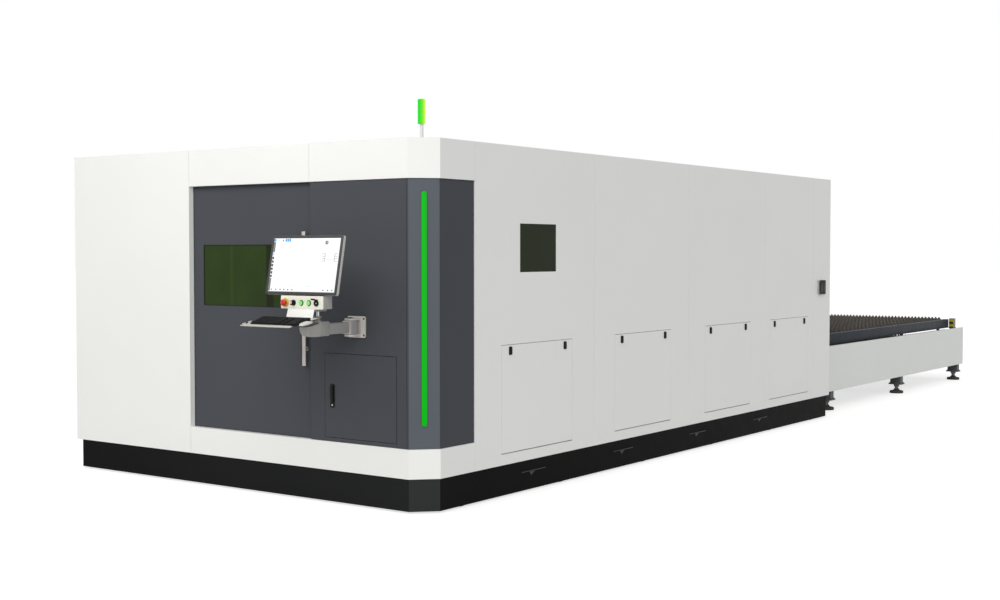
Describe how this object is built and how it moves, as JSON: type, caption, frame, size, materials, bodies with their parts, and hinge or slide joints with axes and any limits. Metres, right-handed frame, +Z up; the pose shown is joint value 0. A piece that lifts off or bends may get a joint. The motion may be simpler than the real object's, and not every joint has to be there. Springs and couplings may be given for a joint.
{
  "type": "fiber laser cutting machine",
  "caption": "Enclosed fiber laser cutter with sliding front door, swing-arm console, side service hatches, gantry and a two-level pallet exchange table.",
  "frame": {"origin": "on the floor, in the middle of the overall length and of the enclosure's width", "axes": "+X from the machine's middle to the wall with the service hatches, +Y from the operator's front to the exchange table, +Z up"},
  "size_m": [3.353, 11.7781, 2.545],
  "materials": {
    "arm_paint": "satin powder coat",
    "black_paint": "matt powder coat",
    "black_plastic": "fine grain",
    "bright_steel": "ground",
    "button_green": "smooth",
    "console_cream": "satin powder coat",
    "cover_white": "satin powder coat",
    "dark_paint": "satin powder coat",
    "frame_grey": "semi-gloss paint",
    "galvanised": "galvanised",
    "handle_steel": "brushed",
    "head_anodised": "black anodised",
    "laser_glass": "green safety glass",
    "lens_green": "lit lens",
    "light_green": "lit diffuser",
    "light_steel": "satin paint",
    "monitor_grey": "fine grain",
    "pallet_paint": "semi-gloss paint",
    "rubber": "matt",
    "screen": "lit display",
    "slat_steel": "hot-rolled, slightly rusty",
    "stop_red": "smooth",
    "white_paint": "satin powder coat",
    "white_plastic": "smooth"
  },
  "bodies": {
    "root": {"skirt_panels": "black_paint", "levelling_feet": "rubber", "bed_frame": "light_steel", "gantry_rails": "bright_steel", "slag_bins": "galvanised", "front_panels": "white_paint", "fixed_front_panel": "dark_paint", "corner_cover": "dark_paint", "corner_light": "light_green", "right_wall_panels": "white_paint", "side_window": "laser_glass", "left_wall_panels": "white_paint", "rear_wall_panels": "white_paint", "roof_panels": "white_paint", "enclosure_frame": "light_steel", "signal_pole": "bright_steel", "signal_lens": "lens_green", "side_control_box": "frame_grey", "inner_cabinets": "light_steel", "arm_bracket": "arm_paint", "table_side_covers": "cover_white", "table_frame": "frame_grey"},
    "front_door": {"door_leaf": "dark_paint", "door_window": "laser_glass", "door_handle": "handle_steel"},
    "cabinet_door": {"cabinet_door": "dark_paint"},
    "cabinet_handle": {"cabinet_handle": "black_plastic"},
    "hatch_1": {"hatch_1": "white_paint"},
    "latch_1a": {"latch_1a": "black_plastic"},
    "latch_1b": {"latch_1b": "black_plastic"},
    "hatch_2": {"hatch_2": "white_paint"},
    "latch_2a": {"latch_2a": "black_plastic"},
    "latch_2b": {"latch_2b": "black_plastic"},
    "hatch_3": {"hatch_3": "white_paint"},
    "latch_3a": {"latch_3a": "black_plastic"},
    "latch_3b": {"latch_3b": "black_plastic"},
    "hatch_4": {"hatch_4": "white_paint"},
    "latch_4a": {"latch_4a": "black_plastic"},
    "latch_4b": {"latch_4b": "black_plastic"},
    "swing_arm": {"swing_arm": "arm_paint"},
    "console": {"console_box": "arm_paint", "keyboard_tray": "console_cream", "keyboard": "black_plastic", "mouse": "white_plastic"},
    "monitor": {"monitor_housing": "monitor_grey", "monitor_screen": "screen"},
    "estop_button": {"estop_button": "stop_red"},
    "selector_knob": {"selector_knob": "black_plastic"},
    "green_button_1": {"green_button_1": "button_green"},
    "green_button_2": {"green_button_2": "button_green"},
    "data_port_cap": {"data_port_cap": "black_plastic"},
    "gantry": {"gantry_beam": "light_steel"},
    "carriage": {"cross_carriage": "frame_grey"},
    "head": {"cutting_head": "head_anodised"},
    "lift": {"lift_frame": "light_steel"},
    "upper_pallet": {"upper_pallet": "pallet_paint", "upper_slats": "slat_steel"},
    "lower_pallet": {"lower_pallet": "pallet_paint", "lower_slats": "slat_steel"},
    "rear_shutter": {"rear_shutter": "cover_white"}
  },
  "joints": [
    {"name": "front_door_slide", "type": "slide", "parent": "root", "child": "front_door", "axis": [1, 0, 0], "range_m": [-1.03, 0]},
    {"name": "cabinet_door_hinge", "type": "hinge", "parent": "root", "child": "cabinet_door", "pos_m": [1.418, -5.1155, 0.69], "axis": [0, 0, 1], "range_deg": [0, 100]},
    {"name": "cabinet_handle_lift", "type": "hinge", "parent": "cabinet_door", "child": "cabinet_handle", "pos_m": [0.896, -5.1303, 0.649], "axis": [1, 0, 0], "range_deg": [0, 60]},
    {"name": "hatch_1_hinge", "type": "hinge", "parent": "root", "child": "hatch_1", "pos_m": [1.657, -3.921, 0.293], "axis": [0, 1, 0], "range_deg": [0, 90]},
    {"name": "latch_1a_turn", "type": "hinge", "parent": "hatch_1", "child": "latch_1a", "pos_m": [1.665, -4.249, 0.957], "axis": [1, 0, 0], "range_deg": [0, 90]},
    {"name": "latch_1b_turn", "type": "hinge", "parent": "hatch_1", "child": "latch_1b", "pos_m": [1.665, -3.593, 0.957], "axis": [-1, 0, 0], "range_deg": [0, 90]},
    {"name": "hatch_2_hinge", "type": "hinge", "parent": "root", "child": "hatch_2", "pos_m": [1.657, -2.49, 0.293], "axis": [0, 1, 0], "range_deg": [0, 90]},
    {"name": "latch_2a_turn", "type": "hinge", "parent": "hatch_2", "child": "latch_2a", "pos_m": [1.665, -2.818, 0.957], "axis": [1, 0, 0], "range_deg": [0, 90]},
    {"name": "latch_2b_turn", "type": "hinge", "parent": "hatch_2", "child": "latch_2b", "pos_m": [1.665, -2.162, 0.957], "axis": [-1, 0, 0], "range_deg": [0, 90]},
    {"name": "hatch_3_hinge", "type": "hinge", "parent": "root", "child": "hatch_3", "pos_m": [1.657, -1.059, 0.293], "axis": [0, 1, 0], "range_deg": [0, 90]},
    {"name": "latch_3a_turn", "type": "hinge", "parent": "hatch_3", "child": "latch_3a", "pos_m": [1.665, -1.387, 0.957], "axis": [1, 0, 0], "range_deg": [0, 90]},
    {"name": "latch_3b_turn", "type": "hinge", "parent": "hatch_3", "child": "latch_3b", "pos_m": [1.665, -0.731, 0.957], "axis": [-1, 0, 0], "range_deg": [0, 90]},
    {"name": "hatch_4_hinge", "type": "hinge", "parent": "root", "child": "hatch_4", "pos_m": [1.657, 0.1925, 0.293], "axis": [0, 1, 0], "range_deg": [0, 90]},
    {"name": "latch_4a_turn", "type": "hinge", "parent": "hatch_4", "child": "latch_4a", "pos_m": [1.665, -0.1355, 0.957], "axis": [1, 0, 0], "range_deg": [0, 90]},
    {"name": "latch_4b_turn", "type": "hinge", "parent": "hatch_4", "child": "latch_4b", "pos_m": [1.665, 0.5205, 0.957], "axis": [-1, 0, 0], "range_deg": [0, 90]},
    {"name": "arm_swing", "type": "hinge", "parent": "root", "child": "swing_arm", "pos_m": [1.111, -5.1915, 1.135], "axis": [0, 0, 1], "range_deg": [-35, 35]},
    {"name": "console_turn", "type": "hinge", "parent": "swing_arm", "child": "console", "pos_m": [1.111, -5.4855, 1.15], "axis": [0, 0, 1], "range_deg": [-30, 30]},
    {"name": "monitor_tilt", "type": "hinge", "parent": "console", "child": "monitor", "pos_m": [1.111, -5.5585, 1.385], "axis": [1, 0, 0], "range_deg": [-12, 3]},
    {"name": "estop_press", "type": "slide", "parent": "console", "child": "estop_button", "axis": [0, 1, 0], "range_m": [0, 0.004], "stiffness_N_per_m": 3000},
    {"name": "selector_turn", "type": "hinge", "parent": "console", "child": "selector_knob", "pos_m": [1.045, -5.6255, 1.3], "axis": [0, 1, 0], "range_deg": [-45, 45]},
    {"name": "green_button_1_press", "type": "slide", "parent": "console", "child": "green_button_1", "axis": [0, 1, 0], "range_m": [0, 0.003], "stiffness_N_per_m": 3000},
    {"name": "green_button_2_press", "type": "slide", "parent": "console", "child": "green_button_2", "axis": [0, 1, 0], "range_m": [0, 0.003], "stiffness_N_per_m": 3000},
    {"name": "port_cap_close", "type": "hinge", "parent": "console", "child": "data_port_cap", "pos_m": [1.231, -5.6375, 1.32], "axis": [1, 0, 0], "range_deg": [0, 100]},
    {"name": "gantry_travel", "type": "slide", "parent": "root", "child": "gantry", "axis": [0, 1, 0], "range_m": [0, 4.7]},
    {"name": "carriage_travel", "type": "slide", "parent": "gantry", "child": "carriage", "axis": [1, 0, 0], "range_m": [-1.2, 1.2]},
    {"name": "head_height", "type": "slide", "parent": "carriage", "child": "head", "axis": [0, 0, 1], "range_m": [-0.045, 0.04]},
    {"name": "lift_raise", "type": "slide", "parent": "root", "child": "lift", "axis": [0, 0, 1], "range_m": [0, 0.23]},
    {"name": "upper_pallet_travel", "type": "slide", "parent": "lift", "child": "upper_pallet", "axis": [0, 1, 0], "range_m": [-4.48, 0]},
    {"name": "lower_pallet_travel", "type": "slide", "parent": "lift", "child": "lower_pallet", "axis": [0, -1, 0], "range_m": [0, 4.48]},
    {"name": "shutter_close", "type": "slide", "parent": "root", "child": "rear_shutter", "axis": [0, 0, 1], "range_m": [-0.62, 0]}
  ]
}
